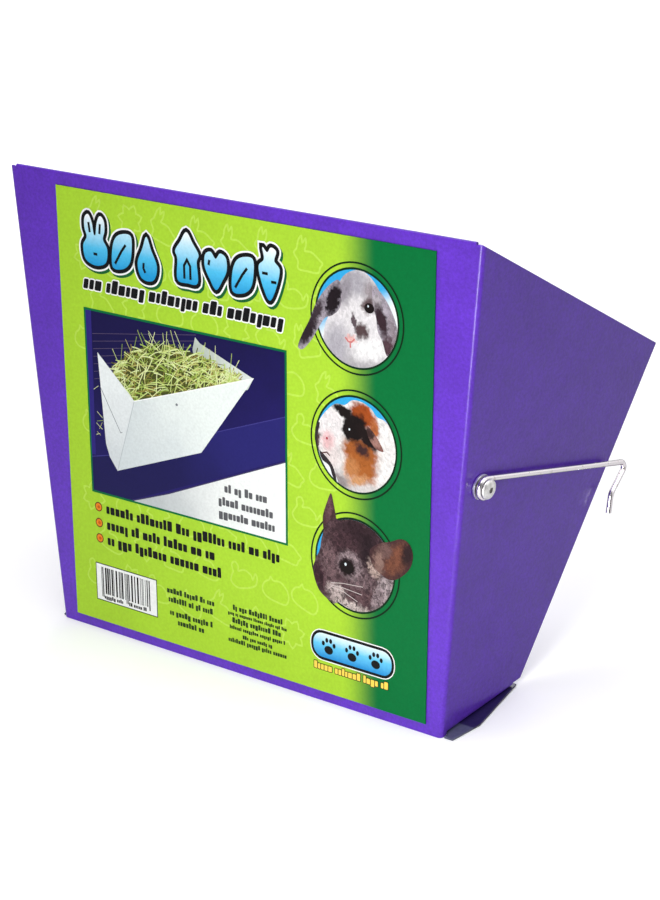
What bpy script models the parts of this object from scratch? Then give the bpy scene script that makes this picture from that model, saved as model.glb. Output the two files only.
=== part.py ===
"""Hay rack feeder: a folded sheet-steel bin, open at the top and the back, with two swivelling wire hooks.

Units are metres, +Z is up and the front faces -Y. The bin stands on its floor pan. Everything is drawn
from the middle of the front panel's bottom edge, and hangs on an empty that brings the origin to the
middle of the underside.
"""

from math import cos, pi, radians, sin, tan

import bmesh
import bpy
from mathutils import Matrix, Vector

MM = 0.001

# The bin, measured over its outer faces.
SHEET = 0.8 * MM
FRONT_HEIGHT = 200 * MM
FRONT_LEAN = radians(7)
TOP_WIDTH = 240 * MM
BOTTOM_WIDTH = 204 * MM
TOP_DEPTH = 140 * MM
TOP_SLOPE = radians(35)
BOTTOM_DEPTH = 49 * MM
GAP = 0.3 * MM

# Its corner bends, the wings' bottom flanges and the top hem.
CORNER_RADIUS = 2.0 * MM
BEND_STEPS = 6
FLANGE_DEPTH = 9 * MM
FLANGE_BEND_HEIGHT = 1.4 * MM
FLANGE_START = 3.6 * MM
FLANGE_RELIEF = 0.6 * MM
FLANGE_END_SPACE = 3 * MM
HEM_DEPTH = 8 * MM
HEM_RADIUS = 1.0 * MM
HEM_DROP = 0.3 * MM
HEM_END_SPACE = 3.5 * MM
HEM_MITRE = 3.0 * MM

# The floor pan lies under the wings' flanges. Its front edge is turned up behind the front panel, its
# back edge is folded over, and an ear at each end stands out from under the wing and tapers to the back.
# The ear's tip runs forward outside the wing. The right ear stands out further than the left.
PAN_RELIEF = 4.0 * MM
PAN_UPTURN = 9 * MM
PAN_BEND_RADIUS = 1.5 * MM
PAN_BACK_SPACE = 0.6 * MM
PAN_HEM_DEPTH = 6 * MM
PAN_HEM_MITRE = 2 * MM
EAR_TIP = 1.1 * MM
EAR_TIP_REACH = 1.0 * MM
EAR_WIDEST = 15.5 * MM
EAR_REACH = 3.1 * MM
EAR_SPACE = 0.4 * MM
RIGHT_EAR_EXTRA = 3.6 * MM

# The printed card.
CARD_WIDTH = 190.3 * MM
CARD_FLARE = 2.4 * MM
CARD_HEIGHT = 190.5 * MM
CARD_THICKNESS = 0.25 * MM
CARD_SHIFT = 2.0 * MM
CARD_BELOW_TOP = 5.0 * MM

# Where each hook turns: along the front bend from the bottom, then back from the bend.
PIVOT_UP = 104.3 * MM
PIVOT_BACK = 10.5 * MM

# The hook, bent from round wire.
WIRE = 2.3 * MM
EYE_RADIUS = 3.8 * MM
EYE_END = radians(365)
ARM_ANGLE = radians(-18.7)
ARM_LENGTH = 98.5 * MM
END_TURN = radians(130)
END_BEND_RADIUS = 2.2 * MM
LEG_LENGTH = 16 * MM
LEG_SPREAD = 2.4 * MM
TIP_TURN = radians(36)
TIP_BEND_RADIUS = 5 * MM
TIP_LENGTH = 8 * MM
WIRE_STEPS = 12

# The pivot stack: blind rivet, its mandrel and two washers.
SHANK_RADIUS = 2.0 * MM
BORE_RADIUS = 1.15 * MM
HEAD_RADIUS = 4.0 * MM
HEAD_HEIGHT = 1.4 * MM
BULB_RADIUS = 3.0 * MM
BULB_LENGTH = 4.2 * MM
MANDREL_RADIUS = 0.85 * MM
MANDREL_HEAD_RADIUS = 1.7 * MM
MANDREL_HEAD_LENGTH = 1.8 * MM
MANDREL_RECESS = 0.5 * MM
WASHER_RADIUS = 5.0 * MM
WASHER_THICKNESS = 0.9 * MM
ROUND_STEPS = 48

# The wings' flanges lie just above the pan.
FLANGE_BOTTOM = SHEET + GAP
WING_BOTTOM = FLANGE_BOTTOM + FLANGE_BEND_HEIGHT

# Distances from a wing's outer face along the pivot, outward positive.
WASHER_SEAT = GAP
EYE_CENTRE = WASHER_SEAT + WASHER_THICKNESS + GAP + WIRE / 2
HEAD_SEAT = EYE_CENTRE + WIRE / 2 + GAP
INNER_SEAT = -SHEET - GAP
BULB_SEAT = INNER_SEAT - WASHER_THICKNESS - GAP

FRONT_UP = Vector((0, sin(FRONT_LEAN), cos(FRONT_LEAN)))
FRONT_OUT = Vector((0, -cos(FRONT_LEAN), sin(FRONT_LEAN)))
TOP_BACK = Vector((0, cos(TOP_SLOPE), -sin(TOP_SLOPE)))
TOP_UP = Vector((0, sin(TOP_SLOPE), cos(TOP_SLOPE)))

FRONT_TOP = FRONT_UP * FRONT_HEIGHT
BACK_TOP = FRONT_TOP + TOP_BACK * TOP_DEPTH
BACK_BOTTOM = Vector((0, BOTTOM_DEPTH, 0))
UNDERSIDE_MIDDLE = BACK_BOTTOM / 2
FLARE = (TOP_WIDTH - BOTTOM_WIDTH) / 2 / FRONT_TOP.dot(TOP_UP)


# ---------------------------------------------------------------- the wings' planes


def half_width(point):
    """Half the bin's outer width at a point's depth and height; it narrows away from the top edges."""
    return TOP_WIDTH / 2 - FLARE * (FRONT_TOP - point).dot(TOP_UP)


def on_wing(point, side):
    """A point of a wing's outer face at this depth and height; side is 1 on the right, -1 on the left."""
    return Vector((side * half_width(point), point.y, point.z))


def wing_out(side):
    """The outward normal of a wing."""
    up_the_bend = on_wing(FRONT_TOP, 1) - on_wing(Vector(), 1)
    normal = TOP_BACK.cross(up_the_bend).normalized()
    return Vector((side * normal.x, normal.y, normal.z))


def pivot_frame(side):
    """A frame on the wing's outer face at the hook's pivot: X back, Z outward."""
    out = wing_out(side)
    bend = (on_wing(FRONT_TOP, side) - on_wing(Vector(), side)).normalized()
    back = bend.cross(out) * side
    level = Vector((0, 0, 1)).cross(out).normalized() * side
    origin = on_wing(Vector(), side) + bend * PIVOT_UP + back * PIVOT_BACK
    frame = Matrix((level, out.cross(level), out)).transposed().to_4x4()
    frame.translation = origin
    return frame


# ---------------------------------------------------------------- scene, materials and small helpers


def clear_scene():
    for item in list(bpy.data.objects):
        bpy.data.objects.remove(item, do_unlink=True)


def collection(name):
    group = bpy.data.collections.new(name)
    bpy.context.scene.collection.children.link(group)
    return group


def material(name, colour, roughness, metallic):
    made = bpy.data.materials.new(name)
    made.use_nodes = True
    shader = made.node_tree.nodes["Principled BSDF"]
    shader.inputs["Base Color"].default_value = (*colour, 1)
    shader.inputs["Roughness"].default_value = roughness
    shader.inputs["Metallic"].default_value = metallic
    return made


def add_object(name, data, finish, group, parent=None):
    item = bpy.data.objects.new(name, data)
    if finish is not None:
        data.materials.append(finish)
    group.objects.link(item)
    item.parent = parent
    return item


def mesh_from(name, mesh_builder):
    data = bpy.data.meshes.new(name)
    mesh_builder.to_mesh(data)
    mesh_builder.free()
    return data


def smooth(data, angle=radians(35)):
    data.shade_smooth()
    data.set_sharp_from_angle(angle=angle)


def solidify(item, thickness, offset):
    shell = item.modifiers.new("Sheet", "SOLIDIFY")
    shell.thickness = thickness
    shell.offset = offset
    shell.use_even_offset = True
    shell.use_quality_normals = True


def plate(name, outline, thickness, finish, group, parent):
    """A flat plate from a closed outline in its own XY plane, centred on its thickness."""
    data = bpy.data.curves.new(name, "CURVE")
    data.dimensions = "2D"
    data.fill_mode = "BOTH"
    data.extrude = thickness / 2
    spline = data.splines.new("POLY")
    spline.points.add(len(outline) - 1)
    for point, (x, y) in zip(spline.points, outline):
        point.co = (x, y, 0, 1)
    spline.use_cyclic_u = True
    return add_object(name, data, finish, group, parent)


def turned(name, profile, finish, group, parent):
    """A turned ring or sleeve around its own Z, from a closed profile of (radius, height) points."""
    builder = bmesh.new()
    ring = [builder.verts.new((radius, 0, height)) for radius, height in profile]
    for here, after in zip(ring, ring[1:] + ring[:1]):
        builder.edges.new((here, after))
    data = mesh_from(name, builder)
    item = add_object(name, data, finish, group, parent)
    spin = item.modifiers.new("Turn", "SCREW")
    spin.angle = 2 * pi
    spin.steps = ROUND_STEPS
    spin.render_steps = ROUND_STEPS
    spin.use_merge_vertices = True
    spin.merge_threshold = 0.00001
    spin.use_smooth_shade = True
    return item


# ---------------------------------------------------------------- the folded bin


def bend_offset(first, second, radius, share):
    """From the sharp corner between two outward normals to a point of the rounded bend between them."""
    centre = (first + second) * (-radius / (1 + first.dot(second)))
    return centre + first.slerp(second, share) * radius


def slide_to(point, direction, plane_point, plane_normal):
    """Moves a point along a direction until it lies in a plane."""
    reach = (plane_point - point).dot(plane_normal) / direction.dot(plane_normal)
    return point + direction * reach


def corner_strip(side):
    """Pairs of bottom and top points across the rounded corner, from the front panel to the wing."""
    corner = on_wing(Vector(), side)
    along = (on_wing(FRONT_TOP, side) - corner).normalized()
    pairs = []
    for step in range(BEND_STEPS + 1):
        start = corner + bend_offset(FRONT_OUT, wing_out(side), CORNER_RADIUS, step / BEND_STEPS)
        bottom = slide_to(start, along, Vector(), Vector((0, 0, 1)))
        top = slide_to(start, along, FRONT_TOP, TOP_UP)
        pairs.append((bottom, top))
    return pairs


def flange_strip(start, end, side):
    """Rows of points from a wing's bottom edge, round the bend and along the flange, from front to back."""
    out = wing_out(side)
    down = Vector((0, 0, -1))
    fall = (down - out * down.dot(out)).normalized()
    tangent = FLANGE_BEND_HEIGHT / -fall.z
    radius = tangent / tan(out.angle(down) / 2)
    rows = []
    for step in range(1, BEND_STEPS + 1):
        shift = fall * tangent + bend_offset(out, down, radius, step / BEND_STEPS)
        rows.append((start + shift, end + shift))
    back = (end - start).normalized()
    inward = Vector((-side * (FLANGE_DEPTH - tangent), 0, 0))
    last_start, last_end = rows[-1]
    rows.append((last_start + inward + back * FLANGE_DEPTH, last_end + inward - back * FLANGE_END_SPACE))
    return rows


def hem_strip(half_length):
    """Rows of points over the rolled hem, from the front panel's top edge to the hem's free edge."""
    base = FRONT_UP * (FRONT_HEIGHT - HEM_DROP)
    rows = []
    for step in range(1, BEND_STEPS + 1):
        turn = pi * step / BEND_STEPS
        lift = FRONT_OUT * (HEM_RADIUS * (cos(turn) - 1)) + FRONT_UP * (HEM_RADIUS * sin(turn))
        rows.append((base + lift, half_length))
    free_edge = rows[-1][0] - FRONT_UP * HEM_DEPTH
    rows.append((free_edge, half_length - HEM_MITRE))
    return [(Vector((half, *p.yz)), Vector((-half, *p.yz))) for p, half in rows]


def add_rows(builder, first_pair, rows):
    """Quads from a pair of existing vertices through rows of point pairs."""
    here = first_pair
    for row in rows:
        after = [builder.verts.new(point) for point in row]
        builder.faces.new((here[0], here[1], after[1], after[0]))
        here = after


def wing(builder, bottom_start, top_start, side):
    """A side wing with its bottom flange, from the vertices where its corner bend ends."""

    def bottom_vertex(depth, height):
        return builder.verts.new(on_wing(Vector((0, depth, height)), side))

    rise = BACK_TOP - BACK_BOTTOM
    back_depth = BOTTOM_DEPTH + WING_BOTTOM * rise.y / rise.z
    relief = bottom_vertex(FLANGE_START - FLANGE_RELIEF, 0)
    flange = [bottom_vertex(y, WING_BOTTOM) for y in (FLANGE_START, BOTTOM_DEPTH - FLANGE_END_SPACE)]
    back_bottom = bottom_vertex(back_depth, WING_BOTTOM)
    back_top = builder.verts.new(on_wing(BACK_TOP, side))
    builder.faces.new((bottom_start, relief, *flange, back_bottom, back_top, top_start))
    add_rows(builder, flange, flange_strip(flange[0].co.copy(), flange[1].co.copy(), side))


def bin_surface():
    """The outer surface of the folded sheet: front, rounded corners, wings with flanges, and top hem."""
    builder = bmesh.new()
    strips = {}
    for side in (-1, 1):
        strips[side] = [[builder.verts.new(point) for point in pair] for pair in corner_strip(side)]
        for (b0, t0), (b1, t1) in zip(strips[side], strips[side][1:]):
            builder.faces.new((b0, b1, t1, t0))
        wing(builder, *strips[side][-1], side)

    hem_half = TOP_WIDTH / 2 - HEM_END_SPACE
    hem_base = FRONT_UP * (FRONT_HEIGHT - HEM_DROP)
    hem = [builder.verts.new(hem_base + Vector((x, 0, 0))) for x in (hem_half, -hem_half)]
    right_bottom, right_top = strips[1][0]
    left_bottom, left_top = strips[-1][0]
    builder.faces.new((left_bottom, right_bottom, right_top, *hem, left_top))
    add_rows(builder, hem, hem_strip(hem_half))

    bmesh.ops.recalc_face_normals(builder, faces=builder.faces)
    builder.faces.ensure_lookup_table()
    front = max(builder.faces, key=lambda face: face.calc_area())
    if front.normal.dot(FRONT_OUT) < 0:
        bmesh.ops.reverse_faces(builder, faces=builder.faces)
    return mesh_from("bin_body", builder)


def hole_cutter(name, side, group, parent):
    """A rod through a wing at the hook's pivot."""
    builder = bmesh.new()
    radius = SHANK_RADIUS + GAP
    bmesh.ops.create_cone(
        builder, cap_ends=True, segments=ROUND_STEPS, radius1=radius, radius2=radius, depth=10 * SHEET
    )
    cutter = add_object(name, mesh_from(name, builder), None, group, parent)
    cutter.matrix_basis = pivot_frame(side)
    cutter.hide_render = True
    cutter.display_type = "WIRE"
    return cutter


def bin_body(finish, group, cutter_group, parent):
    body = add_object("bin_body", bin_surface(), finish, group, parent)
    smooth(body.data)
    solidify(body, SHEET, -1)
    for side, name in ((1, "right_hole_cutter"), (-1, "left_hole_cutter")):
        cut = body.modifiers.new("Pivot hole", "BOOLEAN")
        cut.operation = "DIFFERENCE"
        cut.solver = "EXACT"
        cut.object = hole_cutter(name, side, cutter_group, parent)
    return body


def pan_half(depth):
    """Half the width between the wings' outer faces at the pan's level."""
    return half_width(Vector((0, depth, 0)))


def pan_outline(flat_start, fold_start, inner_half, hem_half, extra):
    """One half of the pan's flat part, from its front bend to its back fold, with so much extra on its ear."""
    back = BOTTOM_DEPTH - PAN_BACK_SPACE
    return [
        (inner_half, flat_start),
        (inner_half, PAN_RELIEF),
        (pan_half(PAN_RELIEF) + EAR_SPACE, PAN_RELIEF),
        (pan_half(EAR_TIP) + EAR_SPACE, EAR_TIP),
        (pan_half(EAR_TIP) + EAR_TIP_REACH + extra, EAR_TIP),
        (pan_half(EAR_WIDEST) + EAR_REACH + extra, EAR_WIDEST),
        (pan_half(back), back),
        (hem_half, back),
        (hem_half, fold_start),
    ]


def upturn_centres(corner):
    """The middle of the pan's front bend, step by step, and of the edge that stands up behind the panel."""
    down = Vector((0, 0, -1))
    shares = [step / BEND_STEPS for step in range(1, BEND_STEPS + 1)]
    bend = [corner + bend_offset(down, FRONT_OUT, PAN_BEND_RADIUS, share) for share in shares]
    return bend + [corner + FRONT_UP * PAN_UPTURN]


def fold_centres(fold_start):
    """The middle of the pan's back fold, step by step, and of the folded edge's free end."""
    bend = []
    for step in range(1, BEND_STEPS + 1):
        turn = pi * step / BEND_STEPS
        bend.append(Vector((0, fold_start + HEM_RADIUS * sin(turn), HEM_RADIUS * (1 - cos(turn)))))
    return bend + [Vector((0, fold_start - PAN_HEM_DEPTH, 2 * HEM_RADIUS))]


def mitred_rows(centres, half):
    """Right and left points of each row; the last row is shorter at both ends."""
    halves = [half] * (len(centres) - 1) + [half - PAN_HEM_MITRE]
    return [(c + Vector((h, 0, 0)), c - Vector((h, 0, 0))) for c, h in zip(centres, halves)]


def pan_surface():
    """The pan's underside, with its turned-up front edge and its folded back edge."""
    corner = Vector((0, (SHEET + GAP) / cos(FRONT_LEAN), 0))
    flat_start = corner.y + PAN_BEND_RADIUS * tan(FRONT_OUT.angle(Vector((0, 0, -1))) / 2)
    fold_start = BOTTOM_DEPTH - PAN_BACK_SPACE - HEM_RADIUS
    inner_half = BOTTOM_WIDTH / 2 - SHEET - CORNER_RADIUS
    hem_half = BOTTOM_WIDTH / 2 - FLANGE_DEPTH - HEM_RADIUS
    bounds = (flat_start, fold_start, inner_half, hem_half)
    builder = bmesh.new()
    right = [builder.verts.new((x, y, 0)) for x, y in pan_outline(*bounds, RIGHT_EAR_EXTRA)]
    left = [builder.verts.new((-x, y, 0)) for x, y in pan_outline(*bounds, 0)]
    builder.faces.new(left + right[::-1])
    add_rows(builder, (right[0], left[0]), mitred_rows(upturn_centres(corner), inner_half))
    add_rows(builder, (right[-1], left[-1]), mitred_rows(fold_centres(fold_start), hem_half))
    bmesh.ops.recalc_face_normals(builder, faces=builder.faces)
    flat = max(builder.faces, key=lambda face: face.calc_area())
    if flat.normal.z > 0:
        bmesh.ops.reverse_faces(builder, faces=builder.faces)
    return mesh_from("floor_pan", builder)


def floor_pan(finish, group, parent):
    pan = add_object("floor_pan", pan_surface(), finish, group, parent)
    smooth(pan.data)
    solidify(pan, SHEET, -1)
    return pan


def label_card(finish, group, parent):
    """The card lies on the front panel; its right edge runs outwards towards the top."""
    x = CARD_WIDTH / 2
    y = CARD_HEIGHT / 2
    outline = [(-x, -y), (x - CARD_FLARE, -y), (x + CARD_FLARE, y), (-x, y)]
    card = plate("label_card", outline, CARD_THICKNESS, finish, group, parent)
    card.rotation_euler.x = pi / 2 - FRONT_LEAN
    middle_up = FRONT_HEIGHT - CARD_BELOW_TOP - CARD_HEIGHT / 2
    card.location = FRONT_UP * middle_up + FRONT_OUT * (GAP + CARD_THICKNESS / 2)
    card.location.x = CARD_SHIFT
    return card


# ---------------------------------------------------------------- the hooks and what they turn on


def arc(centre, radius, start, end):
    """Points of an arc, one about every 12 degrees, both ends included."""
    steps = max(2, round(abs(end - start) / radians(12)))
    angles = [start + (end - start) * step / steps for step in range(steps + 1)]
    return [Vector((centre[0] + radius * cos(a), centre[1] + radius * sin(a))) for a in angles]


def rounded_corner(corner, turn_from, turn_by, radius):
    """A right-hand bend of the wire around a corner point, as an arc between its two straight parts."""
    tangent = radius * tan(abs(turn_by) / 2)
    sign = 1 if turn_by > 0 else -1
    start = corner - Vector((cos(turn_from), sin(turn_from))) * tangent
    normal = turn_from + sign * pi / 2
    centre = start + Vector((cos(normal), sin(normal))) * radius
    return arc(centre, radius, normal - pi, normal - pi + turn_by)


def hook_path():
    """The wire's centre line in the hook's plane: X along the arm, Y up, the pivot at the origin."""
    end_corner = Vector((ARM_LENGTH, EYE_RADIUS))
    leg_angle = -END_TURN
    tip_corner = end_corner + Vector((cos(leg_angle), sin(leg_angle))) * LEG_LENGTH
    tip_angle = leg_angle + TIP_TURN
    tip = tip_corner + Vector((cos(tip_angle), sin(tip_angle))) * TIP_LENGTH
    path = arc((0, 0), EYE_RADIUS, EYE_END, pi / 2)
    path += rounded_corner(end_corner, 0, -END_TURN, END_BEND_RADIUS)
    path += rounded_corner(tip_corner, leg_angle, TIP_TURN, TIP_BEND_RADIUS)
    path.append(tip)
    return path


def hook(name, side, finish, group, parent):
    """A wire hook around its pivot; the turned-down end leans away from the wing."""
    data = bpy.data.curves.new(name, "CURVE")
    data.dimensions = "3D"
    data.bevel_depth = WIRE / 2
    data.bevel_resolution = WIRE_STEPS // 2 - 1
    data.use_fill_caps = True
    path = hook_path()
    spline = data.splines.new("POLY")
    spline.points.add(len(path) - 1)
    for point, place in zip(spline.points, path):
        below_arm = max(0, EYE_RADIUS - place.y) if place.x > ARM_LENGTH / 2 else 0
        lean = LEG_SPREAD * below_arm / LEG_LENGTH
        point.co = (place.x, side * place.y, EYE_CENTRE + lean, 1)
    item = add_object(name, data, finish, group, parent)
    item.rotation_euler.z = side * ARM_ANGLE
    return item


def washer(name, seat, finish, group, parent):
    """A washer whose inner or outer face lies at the seat, on its outer side."""
    hole = SHANK_RADIUS + GAP
    top = seat + WASHER_THICKNESS
    profile = [(hole, top), (WASHER_RADIUS, top), (WASHER_RADIUS, seat), (hole, seat)]
    return turned(name, profile, finish, group, parent)


def rivet(name, finish, group, parent):
    """A blind rivet: domed head outside, shank through the stack, upset bulb inside, bored through."""
    dome = []
    for step in range(5):
        angle = radians(90 - 22.5 * step)
        radius = BORE_RADIUS + (HEAD_RADIUS - BORE_RADIUS) * cos(angle)
        dome.append((radius, HEAD_SEAT + HEAD_HEIGHT * (0.25 + 0.75 * sin(angle))))
    bulb_end = BULB_SEAT - BULB_LENGTH
    inside = [
        (HEAD_RADIUS, HEAD_SEAT),
        (SHANK_RADIUS, HEAD_SEAT),
        (SHANK_RADIUS, BULB_SEAT),
        (BULB_RADIUS, BULB_SEAT - 0.1 * BULB_LENGTH),
        (BULB_RADIUS, BULB_SEAT - 0.4 * BULB_LENGTH),
        (SHANK_RADIUS, bulb_end),
        (BORE_RADIUS, bulb_end),
    ]
    return turned(name, dome + inside, finish, group, parent)


def mandrel(name, finish, group, parent):
    """The mandrel's stem in the rivet's bore, with its head against the blind end."""
    top = HEAD_SEAT + HEAD_HEIGHT - MANDREL_RECESS
    seat = BULB_SEAT - BULB_LENGTH - GAP
    profile = [(0, top), (MANDREL_RADIUS, top), (MANDREL_RADIUS, seat), (MANDREL_HEAD_RADIUS, seat)]
    for step in range(1, 5):
        angle = radians(22.5 * step)
        profile.append((MANDREL_HEAD_RADIUS * cos(angle), seat - MANDREL_HEAD_LENGTH * sin(angle)))
    builder = bmesh.new()
    chain = [builder.verts.new((max(radius, 0), 0, height)) for radius, height in profile]
    for here, after in zip(chain, chain[1:]):
        builder.edges.new((here, after))
    bmesh.ops.spin(
        builder,
        geom=builder.verts[:] + builder.edges[:],
        cent=(0, 0, 0),
        axis=(0, 0, 1),
        angle=2 * pi,
        steps=ROUND_STEPS // 2,
    )
    bmesh.ops.remove_doubles(builder, verts=builder.verts, dist=0.00001)
    bmesh.ops.recalc_face_normals(builder, faces=builder.faces)
    data = mesh_from(name, builder)
    smooth(data)
    return add_object(name, data, finish, group, parent)


def pivot_stack(label, side, finishes, group, parent):
    """One side's hook, rivet, mandrel and washers, around an empty on the pivot's axis."""
    pivot = add_object(label + "_pivot", None, None, group, parent)
    pivot.matrix_basis = pivot_frame(side)
    hook(label + "_hook", side, finishes["wire"], group, pivot)
    rivet(label + "_rivet", finishes["rivet"], group, pivot)
    mandrel(label + "_rivet_mandrel", finishes["mandrel"], group, pivot)
    washer(label + "_outer_washer", WASHER_SEAT, finishes["washer"], group, pivot)
    inner_seat = INNER_SEAT - WASHER_THICKNESS
    washer(label + "_inner_washer", inner_seat, finishes["washer"], group, pivot)


def main():
    clear_scene()
    group = collection("hay_rack_feeder")
    cutters = collection("cutters")
    coat = material("purple_powder_coat", (0.13, 0.045, 0.40), 0.28, 0.0)
    pan_coat = material("pan_powder_coat", (0.12, 0.04, 0.37), 0.30, 0.0)
    card = material("printed_card", (0.33, 0.60, 0.05), 0.35, 0.0)
    finishes = {
        "wire": material("nickel_plated_wire", (0.78, 0.77, 0.75), 0.18, 1.0),
        "rivet": material("aluminium_rivet", (0.80, 0.80, 0.80), 0.30, 1.0),
        "mandrel": material("steel_mandrel", (0.35, 0.35, 0.36), 0.40, 1.0),
        "washer": material("zinc_washer", (0.66, 0.67, 0.69), 0.32, 1.0),
    }
    base = add_object("base", None, None, group)
    base.location = -UNDERSIDE_MIDDLE
    bin_body(coat, group, cutters, base)
    floor_pan(pan_coat, group, base)
    label_card(card, group, base)
    pivot_stack("right", 1, finishes, group, base)
    pivot_stack("left", -1, finishes, group, base)


main()
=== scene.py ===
"""Looks of the hay rack feeder: its finishes, the printed card's artwork, the studio and the camera.

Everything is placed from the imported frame. The card's artwork is laid out in shares of the card's width
and height, from the card's top left corner, X to the right and Y down. Each patch of ink is a thin closed
plate on its own layer. The pictures of animals are laid out in units of their circle's radius.
"""

import random
from math import cos, hypot, pi, radians, sin

import bmesh
import bpy
from mathutils import Matrix, Vector


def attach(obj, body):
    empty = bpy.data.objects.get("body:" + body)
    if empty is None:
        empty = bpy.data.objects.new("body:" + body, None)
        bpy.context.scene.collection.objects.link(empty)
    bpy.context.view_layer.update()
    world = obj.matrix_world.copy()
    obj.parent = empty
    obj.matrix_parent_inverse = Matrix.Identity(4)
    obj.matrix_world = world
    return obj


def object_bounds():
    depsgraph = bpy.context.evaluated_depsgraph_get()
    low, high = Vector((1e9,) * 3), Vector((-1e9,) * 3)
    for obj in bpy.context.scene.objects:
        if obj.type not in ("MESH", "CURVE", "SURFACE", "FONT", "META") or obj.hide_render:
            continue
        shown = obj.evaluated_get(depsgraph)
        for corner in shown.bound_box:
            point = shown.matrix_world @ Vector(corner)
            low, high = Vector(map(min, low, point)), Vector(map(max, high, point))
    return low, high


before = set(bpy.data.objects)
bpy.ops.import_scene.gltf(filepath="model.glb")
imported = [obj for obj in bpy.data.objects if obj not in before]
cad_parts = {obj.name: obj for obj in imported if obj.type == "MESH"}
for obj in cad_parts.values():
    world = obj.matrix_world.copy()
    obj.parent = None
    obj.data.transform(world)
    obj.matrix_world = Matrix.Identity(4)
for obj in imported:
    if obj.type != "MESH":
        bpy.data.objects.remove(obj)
cad_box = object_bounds()

MM = 0.001

# Colours, as they look under white light (sRGB, 0 to 255).
PURPLE = (103, 50, 204)
# Painted shade: the floor pan's purple coat, darkened to stand for the shade under the wings.
PAN_PAINTED_SHADE_PURPLE = (38, 28, 80)
# Painted light: the grey-blue reflection on the front part of the pan's ears.
EAR_PAINTED_LIGHT_GREY = (84, 86, 112)
LIME = (173, 217, 56)
DOODLE_LINE = (187, 224, 84)
DARK_GREEN = (0, 110, 54)
FRAME_GREEN = (4, 112, 56)
SHADE_GREEN = (24, 98, 48)
RING_GREEN = (8, 34, 18)
RIM_GREEN = (10, 44, 24)
BLACK = (16, 16, 18)
WHITE = (246, 247, 246)
BROWN = (92, 56, 30)
ORANGE = (236, 134, 38)
DEEP_ORANGE = (205, 92, 24)
YELLOW = (250, 214, 90)
SKY = (52, 166, 222)
SKY_PALE = (232, 240, 242)
PINK = (206, 120, 116)
MOTTLE = (34, 20, 26)
NOSE_RED = (170, 60, 70)
NOSE_BROWN = (58, 32, 40)
MOUTH_BROWN = (96, 66, 64)
WHISKER = (206, 194, 192)
EYE_BLACK = (22, 14, 14)
EYE_GLINT = (222, 232, 240)
SMALL_PRINT = (38, 60, 28)
CAPTION_GREY = (92, 92, 96)
HEADING_STOPS = (
    (0.0, (250, 252, 255)), (0.30, (184, 230, 248)), (0.66, (82, 192, 236)), (1.0, (36, 154, 214)),
)
BADGE_STOPS = ((0.0, (226, 244, 252)), (0.45, (104, 200, 240)), (1.0, (36, 138, 208)))

# Each metal's clean and dull colour.
NICKEL = (246, 240, 244), (206, 196, 192)
# Painted reflection: the dark tone the wire takes towards its outline.
NICKEL_PAINTED_DARK_REFLECTION = (70, 62, 74)
ALUMINIUM = (244, 243, 241), (214, 212, 210)
STEEL = (128, 126, 124), (82, 78, 76)
ZINC = (236, 236, 240), (204, 206, 212)
RUBBED = (235, 235, 235)

# Layout of the card, in shares of its width and height. A box is left, top, right, bottom; a line of
# dummy text is left, right, top, height.
SHADE_START, SHADE_END = 0.765, 0.868
HEADING_TOP, HEADING_BOTTOM = 0.052, 0.162
HEADING_SIGNS = (
    (0.075, "rabbit"), (0.157, "leaf"), (0.228, "drop"),
    (0.336, "hutch"), (0.417, "heart"), (0.491, "leaf"), (0.560, "carrot"),
)
TAGLINE = (0.069, 0.625, 0.189, 0.030)
TAGLINE_LEAN = 0.2
PICTURE = (0.0665, 0.262, 0.6345, 0.690)
PICTURE_BORDER = 0.0050
CAPTION_LAYERS_UP = 6
CAPTION = (
    (0.461, 0.584, 0.588, 0.019),
    (0.444, 0.600, 0.619, 0.019),
    (0.444, 0.602, 0.648, 0.019),
)
BULLETS = ((0.723, 0.627), (0.761, 0.440), (0.798, 0.463))
BULLET_X = 0.084
BULLET_RINGS = ((0.0112, BROWN), (0.0088, ORANGE))
BULLET_CORE_X = BULLET_X + 0.001
BULLET_CORE = (0.0042, 0.0036)
BULLET_TEXT_X = 0.108
BULLET_TEXT_RISE = 0.0125
BULLET_TEXT_HEIGHT = 0.0235
LEFT_SMALL_PRINT = (
    (0.285, 0.430, 0.867, 0.0135),
    (0.289, 0.427, 0.888, 0.0135),
    (0.292, 0.424, 0.919, 0.0135),
    (0.315, 0.400, 0.939, 0.0135),
)
RIGHT_SMALL_PRINT = (
    (0.478, 0.618, 0.862, 0.0125),
    (0.464, 0.632, 0.8795, 0.008),
    (0.476, 0.620, 0.892, 0.0125),
    (0.468, 0.628, 0.911, 0.009),
    (0.505, 0.592, 0.928, 0.009),
    (0.464, 0.633, 0.941, 0.0105),
)
BARCODE = (0.0665, 0.859, 0.2546, 0.950)
BARCODE_RIM = 0.0022
BARCODE_RIM_GREEN = (44, 60, 30)
BARCODE_UNITS = 112
BARCODE_LEFT_SPACE, BARCODE_RIGHT_SPACE, BARCODE_GUARD = 9, 10, 5
BARCODE_TOP_SPACE = 0.006
BARCODE_GUARD_FOOT, BARCODE_FOOT = 0.008, 0.0165
BARCODE_TEXT_RISE, BARCODE_TEXT_HEIGHT = 0.0135, 0.009
BARCODE_TEXT_INDENT = 0.022
BARCODE_TEXT_GAP = 0.008, 0.006
CIRCLE_X = 0.8125
CIRCLE_YS = (0.1655, 0.430, 0.693)
CIRCLE_RADIUS = 0.1
OUTER_RING, OUTER_RING_WIDTH = 1.145, 0.0038
CIRCLE_RIM = 1.045
BADGE = (0.703, 0.865, 0.911, 0.920)
BADGE_CORNER = 0.024
BADGE_RIMS = ((0.0085, WHITE), (0.0062, BLACK))
BADGE_LINE = (0.705, 0.913, 0.933, 0.0165)
PAW_PLACES = (0.2, 0.5, 0.8)
PAW_PAD_DROP = 0.008
PAW_PAD = (0.0115, 0.0095)
PAW_TOES = ((-0.0145, -0.005), (-0.0052, -0.0135), (0.0052, -0.0135), (0.0145, -0.005))
PAW_TOE = (0.0040, 0.0055)
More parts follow.
